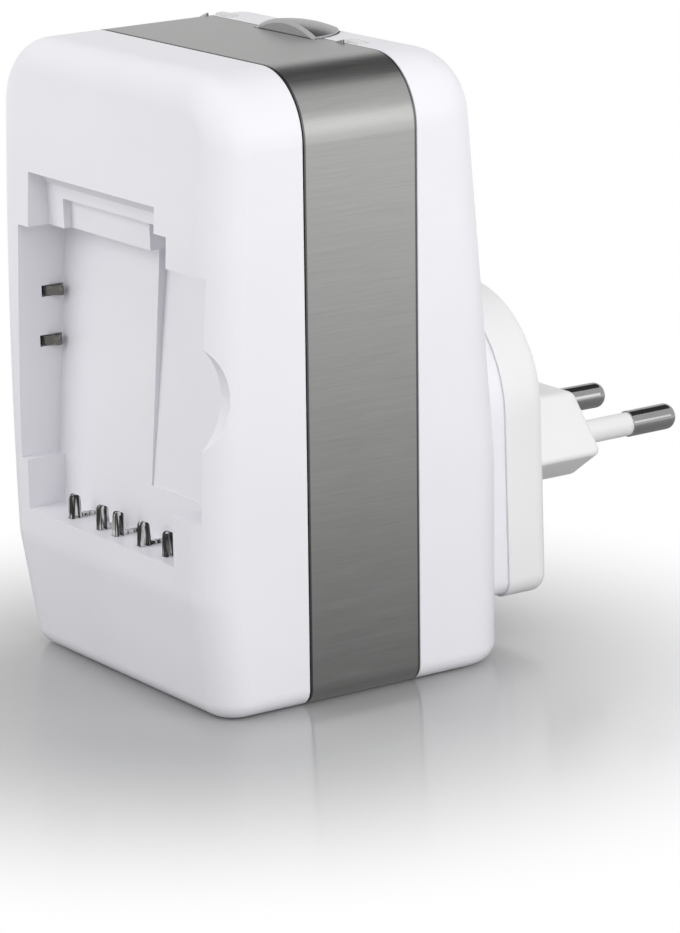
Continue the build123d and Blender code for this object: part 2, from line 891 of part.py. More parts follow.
mains_capacitor = lying_can(mains_cap_radius, mains_cap_length, mains_cap_place)
export(mains_capacitor, "mains_capacitor")
output_capacitor = lying_can(output_cap_radius, output_cap_length, output_cap_place, front=True)
export(output_capacitor, "output_capacitor")
bridge_rectifier = on_board(bridge_size, bridge_place)
export(bridge_rectifier, "bridge_rectifier")
charge_controller = on_board(chip_size, chip_place, front=True)
export(charge_controller, "charge_controller")

with BuildPart() as mains_fuse:
    with BuildSketch(Plane.XY.offset(fuse_place[1])):
        with Locations((fuse_place[0], board_back + seat_gap + fuse_radius)):
            Circle(fuse_radius)
    extrude(amount=fuse_length)
    neck = fuse_radius - 2 * seat_gap
    with BuildSketch(Plane.XY.offset(fuse_place[1] + fuse_cap_length)):
        with Locations((fuse_place[0], board_back + seat_gap + fuse_radius)):
            Circle(fuse_radius)
            Circle(neck, mode=Mode.SUBTRACT)
    extrude(amount=fuse_length - 2 * fuse_cap_length, mode=Mode.SUBTRACT)
export(mains_fuse.part, "mains_fuse")

# Mains terminals: strips from the board to the inner ends of the pins

for side, direction in {"left": -1, "right": 1}.items():
    with BuildPart() as mains_terminal:
        with BuildSketch(Plane.XY.offset(pin_height - terminal_height / 2)):
            with BuildLine():
                FilletPolyline(
                    (direction * pin_half_pitch_face, module_seat - seat_gap),
                    (direction * pin_half_pitch_face, board_back + terminal_strip / 2 + seat_gap),
                    (direction * (pin_half_pitch_face - terminal_foot), board_back + terminal_strip / 2 + seat_gap),
                    radius=terminal_strip,
                )
            trace(line_width=terminal_strip)
        extrude(amount=terminal_height)
    export(mains_terminal.part, f"mains_terminal_{side}")

# Case screws, reached through the boss before the plug module goes on

with BuildPart() as case_screws:
    with BuildSketch(Plane.XZ.offset(-screw_seat)):
        with Locations((-screw_place[0], screw_place[1]), screw_place):
            Circle(screw_head_radius)
    extrude(amount=-screw_head_height)
    fillet(case_screws.faces().group_by(Axis.Y)[-1].edges(), screw_head_height / 3)
    with BuildSketch(Plane.XZ.offset(-screw_seat)):
        with Locations((-screw_place[0], screw_place[1]), screw_place):
            Circle(screw_radius)
    extrude(amount=screw_seat - board_front + screw_bite)
export(case_screws.part, "case_screws")
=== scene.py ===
"""Looks of a camera battery charger, dressed round its solids.

A white two-shell housing with a brushed silver band, a stepped battery bay with sprung and folded
contacts, a half-moon push button with two light windows on top, and a two-pin mains plug at the
back. Everything is in metres, in the frame of the solids: +Z up, the bay faces -Y and the mains
pins point to +Y.
"""

import json
import logging
import math
from dataclasses import dataclass
from enum import Enum
from typing import Any, ClassVar, Mapping, Sequence, Union

import bmesh
import bpy
from mathutils import Matrix, Vector

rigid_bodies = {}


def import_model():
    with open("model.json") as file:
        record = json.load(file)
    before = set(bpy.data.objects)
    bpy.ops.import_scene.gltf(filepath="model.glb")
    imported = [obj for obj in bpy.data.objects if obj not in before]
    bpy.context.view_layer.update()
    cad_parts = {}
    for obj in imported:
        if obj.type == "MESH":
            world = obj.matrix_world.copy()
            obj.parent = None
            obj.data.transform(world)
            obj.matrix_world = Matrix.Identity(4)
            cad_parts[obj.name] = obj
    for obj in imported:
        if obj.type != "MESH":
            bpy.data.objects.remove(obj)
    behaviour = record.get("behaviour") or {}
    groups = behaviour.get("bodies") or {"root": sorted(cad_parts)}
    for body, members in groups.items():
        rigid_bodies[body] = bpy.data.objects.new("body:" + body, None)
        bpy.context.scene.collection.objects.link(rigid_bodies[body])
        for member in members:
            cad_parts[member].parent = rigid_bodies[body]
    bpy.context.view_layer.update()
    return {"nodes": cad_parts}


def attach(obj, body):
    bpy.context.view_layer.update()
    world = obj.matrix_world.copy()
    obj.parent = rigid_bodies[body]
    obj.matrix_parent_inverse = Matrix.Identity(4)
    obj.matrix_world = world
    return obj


for startup_object in list(bpy.data.objects):
    bpy.data.objects.remove(startup_object)
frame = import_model()

LOG = logging.getLogger("charger")
MM = 0.001

Colour = tuple[float, float, float]
Triple = tuple[float, float, float]
Span = tuple[float, float]
Value = Union[float, "Sock"]
Inputs = Mapping[Union[str, int], Any]

ORIGIN: Triple = (0.0, 0.0, 0.0)
EVEN: Triple = (1.0, 1.0, 1.0)
NOISE_MEAN = 0.5
# A distance that no piece reaches.
OUT_OF_REACH = 1.0


def grey(level: float) -> Colour:
    """A neutral colour of one level."""
    return (level, level, level)


def shaded(colour: Colour, factor: float) -> Colour:
    """A colour made darker or lighter by one factor."""
    return tuple(channel * factor for channel in colour)


class Run(Enum):
    """Direction in which brush lines, stripes or windings run over a piece."""

    ALONG_X = 0
    ALONG_Y = 1
    ALONG_Z = 2

    def stretch(self, share: float) -> Triple:
        """Scale of a pattern that is drawn out along this direction."""
        return tuple(share if direction is self else 1.0 for direction in Run)


class Ray(Enum):
    """Kind of ray that meets a surface, by its output of the Light Path node."""

    CAMERA = "Is Camera Ray"
    GLOSSY = "Is Glossy Ray"
    THROUGH = "Is Transmission Ray"


@dataclass(frozen=True)
class Mottle:
    """Size of a soft noise: waves per metre, number of finer layers and how strong those are."""

    waves: float
    layers: float
    fineness: float


class Sock:
    """A node's output that takes part in Python expressions."""

    def __init__(self, shade: "Shade", socket: bpy.types.NodeSocket) -> None:
        """Wrap one socket of a node tree."""
        self.shade = shade
        self.socket = socket

    def _math(self, operation: str, *terms: Value) -> "Sock":
        """Add one Math node.

        Args:
            operation: the Math node's operation.
            terms: its inputs in order, numbers or sockets.

        Returns:
            The node's result.
        """
        return self.shade.node("ShaderNodeMath", {"operation": operation}, dict(enumerate(terms)))

    def __add__(self, other: Value) -> "Sock":
        """self + other."""
        return self._math("ADD", self, other)

    def __radd__(self, other: Value) -> "Sock":
        """other + self."""
        return self._math("ADD", other, self)

    def __sub__(self, other: Value) -> "Sock":
        """self - other."""
        return self._math("SUBTRACT", self, other)

    def __rsub__(self, other: Value) -> "Sock":
        """other - self."""
        return self._math("SUBTRACT", other, self)

    def __mul__(self, other: Value) -> "Sock":
        """self * other."""
        return self._math("MULTIPLY", self, other)

    def __rmul__(self, other: Value) -> "Sock":
        """other * self."""
        return self._math("MULTIPLY", other, self)

    def __abs__(self) -> "Sock":
        """The value without its sign."""
        return self._math("ABSOLUTE", self)

    def at_most(self, other: Value) -> "Sock":
        """The smaller of the two."""
        return self._math("MINIMUM", self, other)

    def wave(self) -> "Sock":
        """A sine of the value, in radians, that runs between 0 and 1."""
        return self._math("SINE", self) * 0.5 + 0.5

    def ramp(self, start: float, end: float, smooth: bool = True) -> "Sock":
        """A step between two values.

        Args:
            start: value at which the step is 0.
            end: value at which the step is 1.
            smooth: whether it eases in and out, or runs straight.

        Returns:
            The step, from 0 to 1.
        """
        return self.shade.node(
            "ShaderNodeMapRange",
            {"interpolation_type": "SMOOTHSTEP" if smooth else "LINEAR"},
            {"Value": self, "From Min": start, "From Max": end},
        )


class Shade:
    """A node tree that is written as expressions."""

    # Sockets of a Mix node that mixes colours, whose names are not unique.
    MIX_SHARE, MIX_LOW, MIX_HIGH, MIX_RESULT = 0, 6, 7, 2

    def __init__(self, tree: bpy.types.NodeTree) -> None:
        """Empty the node tree of a material or a world."""
        self.tree = tree
        self.tree.nodes.clear()

    def node(
        self,
        kind: str,
        settings: Mapping[str, Any] | None = None,
        inputs: Inputs | None = None,
        output: Union[str, int] = 0,
    ) -> Sock:
        """Add a node.

        Args:
            kind: the node's type.
            settings: its settings, which are set first.
            inputs: values or sockets for its inputs, by name or number.
            output: which output to return.

        Returns:
            The chosen output. An end node has none and gives its input.
        """
        made = self.tree.nodes.new(kind)
        for name, setting in (settings or {}).items():
            setattr(made, name, setting)
        for key, value in (inputs or {}).items():
            target = made.inputs[key]
            if isinstance(value, Sock):
                self.tree.links.new(value.socket, target)
            elif target.type == "RGBA":
                target.default_value = (*value, 1.0)
            else:
                target.default_value = value
        return Sock(self, (made.outputs or made.inputs)[output])

    def vector(self, operation: str, *terms: Any, output: str = "Vector") -> Sock:
        """Add one Vector Math node.

        Args:
            operation: the node's operation.
            terms: its inputs in order, vectors or sockets.
            output: "Vector", or "Value" where the result is a number.

        Returns:
            The node's result.
        """
        inputs = dict(enumerate(terms))
        return self.node("ShaderNodeVectorMath", {"operation": operation}, inputs, output)

    def place(self, scale: Triple = EVEN, centre: Triple = ORIGIN) -> Sock:
        """Object coordinates, stretched about a centre.

        Args:
            scale: stretch of the pattern along each axis.
            centre: point of the object that becomes the pattern's origin.

        Returns:
            The coordinates.
        """
        where = self.node("ShaderNodeTexCoord", output="Object")
        moved = self.vector("SUBTRACT", where, centre)
        return self.node("ShaderNodeMapping", inputs={"Vector": moved, "Scale": scale})

    def noise(self, where: Sock, mottle: Mottle) -> Sock:
        """Soft noise.

        Args:
            where: coordinates.
            mottle: size of the noise.

        Returns:
            The noise, about NOISE_MEAN in the mean.
        """
        inputs = {
            "Vector": where,
            "Scale": mottle.waves,
            "Detail": mottle.layers,
            "Roughness": mottle.fineness,
        }
        return self.node("ShaderNodeTexNoise", inputs=inputs)

    def cells(self, where: Sock, feature: str, count: float) -> Sock:
        """Distance inside the cells of a random pattern.

        Args:
            where: coordinates.
            feature: what the distance is taken from, as the Voronoi node names it.
            count: number of cells per metre.

        Returns:
            The distance, in cells.
        """
        inputs = {"Vector": where, "Scale": count}
        return self.node("ShaderNodeTexVoronoi", {"feature": feature}, inputs)

    def part(self, where: Sock, run: Run) -> Sock:
        """One coordinate of a vector."""
        return self.node("ShaderNodeSeparateXYZ", inputs={"Vector": where}, output=run.value)

    def ray(self, kind: Ray) -> Sock:
        """1 for rays of one kind, and 0 for all others."""
        return self.node("ShaderNodeLightPath", output=kind.value)

    def tint(self, share: Sock, low: Any, high: Any) -> Sock:
        """Mix two colours.

        Args:
            share: how much of the second colour.
            low: first colour or socket.
            high: second colour or socket.

        Returns:
            The mixed colour.
        """
        inputs = {self.MIX_SHARE: share, self.MIX_LOW: low, self.MIX_HIGH: high}
        return self.node("ShaderNodeMix", {"data_type": "RGBA"}, inputs, self.MIX_RESULT)

    def bump(self, height: Sock, strength: float, depth: float) -> Sock:
        """Normals from a height.

        Args:
            height: the height, 0 to 1.
            strength: how much of it shows.
            depth: depth of the relief in metres.

        Returns:
            The bent normal.
        """
        inputs = {"Strength": strength, "Distance": depth, "Height": height}
        return self.node("ShaderNodeBump", inputs=inputs)

    def glow(self, colour: Any) -> Sock:
        """A shader that gives off light of a colour or a socket."""
        return self.node("ShaderNodeEmission", inputs={"Color": colour})

    def blend(self, share: Sock, first: Sock, second: Sock) -> Sock:
        """Mix two shaders, by the share of the second."""
        return self.node("ShaderNodeMixShader", inputs=dict(enumerate((share, first, second))))

    def close(self, shader: Sock) -> None:
        """Send a shader to the output of a material."""
        self.node("ShaderNodeOutputMaterial", inputs={"Surface": shader})


def blank_material(name: str) -> bpy.types.Material:
    """Make a material whose nodes are still to come.

    Args:
        name: the material's name.

    Returns:
        The material.
    """
    made = bpy.data.materials.new(name)
    made.use_nodes = True
    return made


def set_down(
    name: str, shape: bmesh.types.BMesh, material: bpy.types.Material
) -> bpy.types.Object:
    """Turn a finished bmesh into an object of the scene.

    Args:
        name: the object's name.
        shape: the bmesh, which is freed.
        material: what the object is made of.

    Returns:
        The object, at the origin.
    """
    mesh = bpy.data.meshes.new(name)
    shape.to_mesh(mesh)
    shape.free()
    mesh.materials.append(material)
    made = bpy.data.objects.new(name, mesh)
    bpy.context.scene.collection.objects.link(made)
    return made


class Finish:
    """A surface finish, which makes its material once and keeps it."""

    name: str
    kept: ClassVar[dict[str, bpy.types.Material]] = {}

    def paint(self, shade: Shade) -> Inputs:
        """The inputs of the surface shader."""
        raise NotImplementedError

    def material(self) -> bpy.types.Material:
        """Make the material, or give the one already made.

        Returns:
            The material of this finish.
        """
        if self.name not in Finish.kept:
            made = blank_material(self.name)
            shade = Shade(made.node_tree)
            shade.close(shade.node("ShaderNodeBsdfPrincipled", inputs=self.paint(shade)))
            Finish.kept[self.name] = made
        return Finish.kept[self.name]


@dataclass(frozen=True)
class Moulding(Finish):
    """Injection-moulded plastic with a fine spark grain and faint flow clouds."""

    name: str
    colour: Colour
    roughness: float = 0.36
    uneven: float = 0.12
    index: float = 1.49
    cloud: float = 0.03
    cloud_noise: Mottle = Mottle(46.0, 3.0, 0.45)
    cloud_step: Span = (0.3, 0.7)
    smear_noise: Mottle = Mottle(130.0, 4.0, 0.6)
    smear_stretch: float = 0.35
    grain: float = 0.05
    grain_depth: float = 0.04 * MM
    grain_noise: Mottle = Mottle(5200.0, 2.0, 0.6)

    def paint(self, shade: Shade) -> Inputs:
        """Cloudy colour, uneven gloss and a fine grain.

        Args:
            shade: the material's node tree.

        Returns:
            The inputs of the surface shader.
        """
        where = shade.place()
        drawn = shade.place(Run.ALONG_Z.stretch(self.smear_stretch))
        clouds = shade.noise(where, self.cloud_noise).ramp(*self.cloud_step)
        smear = shade.noise(drawn, self.smear_noise)
        grain = shade.noise(where, self.grain_noise)
        deep = shaded(self.colour, 1.0 - self.cloud)
        return {
            "Base Color": shade.tint(clouds, deep, self.colour),
            "Roughness": self.roughness + self.uneven * (smear - NOISE_MEAN),
            "IOR": self.index,
            "Normal": shade.bump(grain, self.grain, self.grain_depth),
        }


@dataclass(frozen=True)
class Brushed(Finish):
    """Metal strip with fine brush lines along run.

    Its two edges, at the distance rim to either side of the middle, are darkened as painted seam
    shade.
    """

    name: str
    colour: Colour
    run: Run
    roughness: float = 0.34
    uneven: float = 0.1
    streak: float = 0.07
    light_share: float = 0.6
    line_noise: Mottle = Mottle(9000.0, 3.0, 0.65)
    line_stretch: float = 0.012
    line_step: Span = (0.3, 0.7)
    broad_noise: Mottle = Mottle(1440.0, 2.0, 0.5)
    broad_share: float = 0.14
    haze: float = 0.06
    haze_noise: Mottle = Mottle(60.0, 2.0, 0.5)
    relief: float = 0.12
    relief_depth: float = 0.03 * MM
    # Painted seam shade: a dark line of width rim_line, faded over rim_fade, at the distance rim
    # from the middle.
    rim: float = OUT_OF_REACH
    rim_line: float = 0.22 * MM
    rim_fade: float = 0.11 * MM
    seam_shade_share: float = 0.75
    seam_shade_level: float = 0.1

    def paint(self, shade: Shade) -> Inputs:
        """Long thin streaks in colour, gloss and relief, and painted seam shade at the strip's two
        edges.

        Args:
            shade: the material's node tree.

        Returns:
            The inputs of the surface shader.
        """
        where = shade.place()
        drawn = shade.place(self.run.stretch(self.line_stretch))
        lines = shade.noise(drawn, self.line_noise)
        broad = shade.noise(drawn, self.broad_noise)
        haze = shade.noise(where, self.haze_noise)
        mixed = lines * (1.0 - self.broad_share) + broad * self.broad_share
        worn = mixed.ramp(*self.line_step)
        dark = shaded(self.colour, 1.0 - self.streak)
        light = shaded(self.colour, 1.0 + self.streak * self.light_share)
        # Painted shade: the colour darkens near both edges of the strip, standing in for the shadow
        # in the seams beside it.
        rim_start = self.rim - self.rim_line
        out = abs(shade.part(where, self.run))
        seam_shade = out.ramp(rim_start - self.rim_fade, rim_start) * self.seam_shade_share
        deep = shaded(self.colour, self.seam_shade_level)
        gloss = self.uneven * (worn - NOISE_MEAN) + self.haze * (haze - NOISE_MEAN)
        return {
            "Base Color": shade.tint(seam_shade, shade.tint(worn, dark, light), deep),
            "Metallic": 1.0,
            "Roughness": self.roughness + gloss,
            "Normal": shade.bump(lines, self.relief, self.relief_depth),
        }


@dataclass(frozen=True)
class Plated(Finish):
    """Bright plate over drawn or stamped metal, with draw lines and a little tarnish."""

    name: str
    colour: Colour
    run: Run
    roughness: float = 0.16
    line_noise: Mottle = Mottle(4200.0, 2.0, 0.6)
    line_stretch: float = 0.03
    line_dulling: float = 0.08
    tarnish: Colour = (0.3, 0.28, 0.25)
    spread: float = 0.35
    spot_noise: Mottle = Mottle(900.0, 4.0, 0.6)
    spot_step: Span = (0.52, 0.78)
    spot_dulling: float = 0.12
    relief: float = 0.06
    relief_depth: float = 0.02 * MM

    def paint(self, shade: Shade) -> Inputs:
        """Tarnish in soft spots and fine draw lines along the piece.

        Args:
            shade: the material's node tree.

        Returns:
            The inputs of the surface shader.
        """
        lines = shade.noise(shade.place(self.run.stretch(self.line_stretch)), self.line_noise)
        spots = shade.noise(shade.place(), self.spot_noise)
        stained = spots.ramp(*self.spot_step) * self.spread
        dulled = self.line_dulling * lines + self.spot_dulling * stained
        return {
            "Base Color": shade.tint(stained, self.colour, self.tarnish),
            "Metallic": 1.0,
            "Roughness": self.roughness + dulled,
            "Normal": shade.bump(lines, self.relief, self.relief_depth),
        }


@dataclass(frozen=True)
class Sprung(Finish):
    """Folded spring strip: a near-black plate as painted dark reflection, with painted highlights
    in bright streaks along the bend.
    """

    name: str
    run: Run
    # Painted dark reflection in the near-black plate and painted highlights in the light colour,
    # for the surroundings the blades mirror.
    dark: Colour = (0.05, 0.048, 0.046)
    painted_highlight_colour: Colour = (0.78, 0.77, 0.75)
    roughness: float = 0.16
    streak_stretch: float = 0.06
    streak_noise: Mottle = Mottle(1900.0, 1.0, 0.4)
    streak_step: Span = (0.5, 0.62)
    fine_noise: Mottle = Mottle(9500.0, 2.0, 0.5)
    fine_dulling: float = 0.1
    relief: float = 0.06
    relief_depth: float = 0.02 * MM

    def paint(self, shade: Shade) -> Inputs:
        """Painted highlights in bright streaks, with the near-black plate between them as painted
        dark reflection.

        Args:
            shade: the material's node tree.

        Returns:
            The inputs of the surface shader.
        """
        drawn = shade.place(self.run.stretch(self.streak_stretch))
        # Painted highlights: bright streaks drawn out along the blade.
        painted_highlights = shade.noise(drawn, self.streak_noise).ramp(*self.streak_step)
        fine = shade.noise(drawn, self.fine_noise)
        return {
            "Base Color": shade.tint(painted_highlights, self.dark, self.painted_highlight_colour),
            "Metallic": 1.0,
            "Roughness": self.roughness + self.fine_dulling * fine,
            "Normal": shade.bump(fine, self.relief, self.relief_depth),
        }


@dataclass(frozen=True)
class ClearPipe(Finish):
    """Milky light pipe with a glossy face."""

    name: str
    colour: Colour
    roughness: float = 0.14
    index: float = 1.5
    through: float = 0.25
    coat: float = 0.4
    milk: float = 0.07
    milk_noise: Mottle = Mottle(700.0, 3.0, 0.5)
    milk_dulling: float = 0.08
    relief: float = 0.03
    relief_depth: float = 0.03 * MM

    def paint(self, shade: Shade) -> Inputs:
        """Slight milkiness that varies through the piece.

        Args:
            shade: the material's node tree.

        Returns:
            The inputs of the surface shader.
        """
        milk = shade.noise(shade.place(), self.milk_noise)
        deep = shaded(self.colour, 1.0 - self.milk)
        return {
            "Base Color": shade.tint(milk, deep, self.colour),
            "Roughness": self.roughness + self.milk_dulling * milk,
            "Transmission Weight": self.through,
            "Coat Weight": self.coat,
            "IOR": self.index,
            "Normal": shade.bump(milk, self.relief, self.relief_depth),
        }


@dataclass(frozen=True)
class Laminate(Finish):
    """Coated circuit laminate with tracks, weave and solder lands."""

    name: str
    colour: Colour
    roughness: float = 0.42
    weave_turns: float = 9000.0
    weave_share: float = 0.3
    weave_level: float = 0.7
    track: Colour = (0.16, 0.42, 0.2)
    track_cells: float = 210.0
    track_edge: Span = (0.06, 0.1)
    solder: Colour = (0.62, 0.62, 0.6)
    solder_metal: float = 0.9
    solder_shine: float = 0.14
    land_cells: float = 260.0
    land_edge: Span = (0.16, 0.2)
    relief: float = 0.2
    relief_depth: float = 0.04 * MM

    def paint(self, shade: Shade) -> Inputs:
        """Tracks from cells of the board, round solder lands and a woven ground.

        Args:
            shade: the material's node tree.

        Returns:
            The inputs of the surface shader.
        """
        where = shade.place()
        warp = (shade.part(where, Run.ALONG_X) * self.weave_turns).wave()
        weft = (shade.part(where, Run.ALONG_Z) * self.weave_turns).wave()
        weave = (warp + weft) * 0.5
        borders = shade.cells(where, "DISTANCE_TO_EDGE", self.track_cells)
        middles = shade.cells(where, "F1", self.land_cells)
        tracks = 1.0 - borders.ramp(*self.track_edge)
        lands = 1.0 - middles.ramp(*self.land_edge)
        dark = shaded(self.colour, self.weave_level)
        ground = shade.tint(weave * self.weave_share, self.colour, dark)
        tracked = shade.tint(tracks, ground, self.track)
        return {
            "Base Color": shade.tint(lands, tracked, self.solder),
            "Metallic": lands * self.solder_metal,
            "Roughness": self.roughness - self.solder_shine * lands,
            "Normal": shade.bump(tracks + lands, self.relief, self.relief_depth),
        }


@dataclass(frozen=True)
class Striped(Finish):
    """Flat cable, tape or wound wire: stripes of one pitch across a piece."""

    name: str
    colour: Colour
    line: Colour
    across: Run
    pitch: float
    roughness: float = 0.45
    uneven: float = 0.1
    line_step: Span = (0.1, 0.5)
    wobble: float = 0.6
    wobble_noise: Mottle = Mottle(300.0, 2.0, 0.5)
    relief: float = 0.4
    relief_share: float = 0.2

    def paint(self, shade: Shade) -> Inputs:
        """Rounded stripes with a little unevenness.

        Args:
            shade: the material's node tree.

        Returns:
            The inputs of the surface shader.
        """
        where = shade.place()
        wobble = shade.noise(where, self.wobble_noise) * self.wobble
        turns = shade.part(where, self.across) * (2.0 * math.pi / self.pitch)
        ridge = (turns + wobble).wave()
        return {
            "Base Color": shade.tint(ridge.ramp(*self.line_step), self.line, self.colour),
            "Roughness": self.roughness + self.uneven * ridge,
            "Normal": shade.bump(ridge, self.relief, self.pitch * self.relief_share),
        }


@dataclass(frozen=True)
class FuseTube(Finish):
    """Glass tube between two metal caps, which begin below one height and above another."""

    name: str
    glass: Colour
    cap: Colour
    low: float
    high: float
    edge: float = 0.1 * MM
    roughness: float = 0.1
    scuff: float = 0.16
    scuff_noise: Mottle = Mottle(1500.0, 3.0, 0.5)
    relief: float = 0.05
    relief_depth: float = 0.02 * MM

    def paint(self, shade: Shade) -> Inputs:
        """Caps at both ends, told apart by height.

        Args:
            shade: the material's node tree.

        Returns:
            The inputs of the surface shader.
        """
        where = shade.place()
        height = shade.part(where, Run.ALONG_Z)
        lower = 1.0 - height.ramp(self.low - self.edge, self.low)
        upper = height.ramp(self.high, self.high + self.edge)
        caps = lower + upper
        scuff = shade.noise(where, self.scuff_noise)
        return {
            "Base Color": shade.tint(caps, self.glass, self.cap),
            "Metallic": caps,
            "Roughness": self.roughness + self.scuff * scuff * caps,
            "Normal": shade.bump(scuff, self.relief, self.relief_depth),
        }


WHITE = Moulding("white_moulding", colour=(0.83, 0.825, 0.865))
PLUG_WHITE = Moulding("plug_moulding", colour=(0.82, 0.82, 0.825), roughness=0.42, grain=0.08)
DARK = Moulding("dark_moulding", colour=(0.035, 0.035, 0.037), roughness=0.5, grain=0.2)
CORE = Moulding(
    "sintered_core",
    colour=(0.07, 0.07, 0.075),
    roughness=0.62,
    cloud=0.2,
    grain=0.4,
    grain_noise=Mottle(2600.0, 2.0, 0.6),
)
SILVER = Brushed(
    "brushed_silver",
    colour=(0.51, 0.51, 0.505),
    run=Run.ALONG_Y,
    streak=0.09,
    # The band's edges, where painted seam shade darkens it.
    rim=9.25 * MM,
)
BUTTON_SILVER = Brushed("button_silver", colour=grey(0.58), run=Run.ALONG_X, roughness=0.3)
PIN_METAL = Plated("pin_plate", colour=grey(0.42), run=Run.ALONG_Y, roughness=0.07)
# Painted dark reflection: the leaves' plate is near-black for the dark surroundings they mirror;
# their tarnish colour is lighter, so its spots come out as lighter beige patches.
LEAF_METAL = Plated(
    "leaf_plate",
    colour=(0.17, 0.165, 0.155),
    run=Run.ALONG_Z,
    roughness=0.2,
    tarnish=(0.5, 0.47, 0.42),
)
BRASS = Plated(
    "terminal_brass",
    colour=(0.75, 0.56, 0.22),
    run=Run.ALONG_Y,
    roughness=0.25,
    tarnish=(0.35, 0.22, 0.08),
)
ZINC = Plated("zinc_screw", colour=(0.55, 0.56, 0.58), run=Run.ALONG_Y, roughness=0.3)
BLADE_METAL = Sprung("blade_plate", run=Run.ALONG_Z)
WINDOW = ClearPipe("light_pipe", colour=(0.92, 0.92, 0.915))
LENS = ClearPipe("lamp_lens", colour=(0.8, 0.86, 0.8))
BOARD = Laminate("board_laminate", colour=(0.03, 0.2, 0.08))
CABLE = Striped(
    "flat_cable",
    colour=(0.66, 0.66, 0.7),
    line=(0.4, 0.4, 0.45),
    across=Run.ALONG_X,
    pitch=1.27 * MM,
)
TAPE = Striped(
    "winding_tape",
    colour=(0.8, 0.6, 0.08),
    line=(0.62, 0.44, 0.04),
    across=Run.ALONG_Z,
    pitch=1.1 * MM,
)
SLEEVE_FILM = Striped(
    "shrink_sleeve",
    colour=(0.03, 0.05, 0.19),
    line=(0.02, 0.03, 0.12),
    across=Run.ALONG_Z,
    pitch=6.0 * MM,
    roughness=0.25,
)
FUSE = FuseTube(
    "fuse_tube",
    glass=(0.72, 0.74, 0.72),
    cap=grey(0.66),
    low=15.6 * MM,
    high=23.4 * MM,
)


def dress(names: Sequence[str], finish: Finish) -> None:
    """Give nodes of the solids a finish.

    Args:
        names: the nodes.
        finish: what they are dressed in.
    """
    for name in names:
        frame["nodes"][name].material_slots[0].material = finish.material()
        LOG.info("dressed %s in %s", name, finish.name)


@dataclass
class Housing:
    """Front and rear shells and the band between them."""

    shells: tuple[str, ...] = ("front_shell", "rear_shell")
    band: str = "trim_band"

    def build(self) -> None:
        """Dress the shells and the band."""
        dress(self.shells, WHITE)
        dress((self.band,), SILVER)


@dataclass
class BatteryBay:
    """Contacts on the ledge and in the left wall of the bay."""

    blades: int = 5
    leaves: tuple[str, ...] = ("wall_contact_upper", "wall_contact_lower")

    def build(self) -> None:
        """Dress the blades and the leaves."""
        dress([f"floor_contact_{place + 1}" for place in range(self.blades)], BLADE_METAL)
        dress(self.leaves, LEAF_METAL)


@dataclass(frozen=True)
class Tooth:
    """A small raised tooth on the band's rear edge, beside a light window.

    It runs along X from start to end, stands on its foot and slopes up from low to high. The block
    that it is cut from stands higher by spare.
    """

    name: str
    start: float
    end: float
    foot: float
    low: float
    high: float
    front: float = 8.8 * MM
    back: float = 9.2 * MM
    spare: float = 0.2 * MM
    edge: float = 0.05 * MM
    edge_segments: int = 2

    def build(self) -> None:
        """Cut the tooth from a small block, break its edges and dress it."""
        block = bmesh.new()
        bmesh.ops.create_cube(block, size=1.0)
        top = self.high + self.spare
        size = (self.end - self.start, self.back - self.front, top - self.foot)
        middle = (
            (self.start + self.end) / 2,
            (self.front + self.back) / 2,
            (self.foot + top) / 2,
        )
        bmesh.ops.scale(block, vec=size, verts=block.verts)
        bmesh.ops.translate(block, vec=middle, verts=block.verts)
        slope = Vector((self.low - self.high, 0.0, self.end - self.start)).normalized()
        bmesh.ops.bisect_plane(
            block,
            geom=[*block.verts, *block.edges, *block.faces],
            plane_co=(self.end, 0.0, self.high),
            plane_no=slope,
            clear_outer=True,
        )
        bmesh.ops.holes_fill(block, edges=[edge for edge in block.edges if edge.is_boundary])
        bmesh.ops.recalc_face_normals(block, faces=block.faces)
        bmesh.ops.bevel(
            block,
            geom=list(block.edges),
            offset=self.edge,
            offset_type="OFFSET",
            segments=self.edge_segments,
            profile=0.5,
            affect="EDGES",
            material=-1,
        )
        tooth = set_down(self.name, block, SILVER.material())
        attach(tooth, "housing")
        LOG.info("built %s", self.name)


@dataclass
class TopControls:
    """Push button, light windows and the teeth beside them."""

    button: str = "push_button"
    windows: tuple[str, ...] = ("light_window_left", "light_window_right")
    lamps: tuple[str, ...] = ("indicator_led_left", "indicator_led_right")
    switch: tuple[str, ...] = ("tact_switch", "switch_plunger")
    teeth: tuple[Tooth, ...] = (
        Tooth(
            "window_tooth_left",
            start=-25.0 * MM,
            end=-23.0 * MM,
            foot=90.0 * MM,
            low=90.55 * MM,
            high=91.3 * MM,
        ),
        Tooth(
            "window_tooth_right",
            start=11.6 * MM,
            end=13.6 * MM,
            foot=90.7 * MM,
            low=91.02 * MM,
            high=91.5 * MM,
        ),
    )

    def build(self) -> None:
        """Dress the button, its switch, the windows and their lamps, and add the teeth."""
        dress((self.button,), BUTTON_SILVER)
        dress(self.windows, WINDOW)
        dress(self.lamps, LENS)
        dress(self.switch, DARK)
        for tooth in self.teeth:
            tooth.build()


@dataclass
class PlugEnd:
    """Plug module with its pins and sleeves."""

    moulded: tuple[str, ...] = ("plug_module", "pin_sleeve_left", "pin_sleeve_right")
    pins: tuple[str, ...] = ("plug_pin_left", "plug_pin_right")

    def build(self) -> None:
        """Dress the mouldings and the pins."""
        dress(self.moulded, PLUG_WHITE)
        dress(self.pins, PIN_METAL)


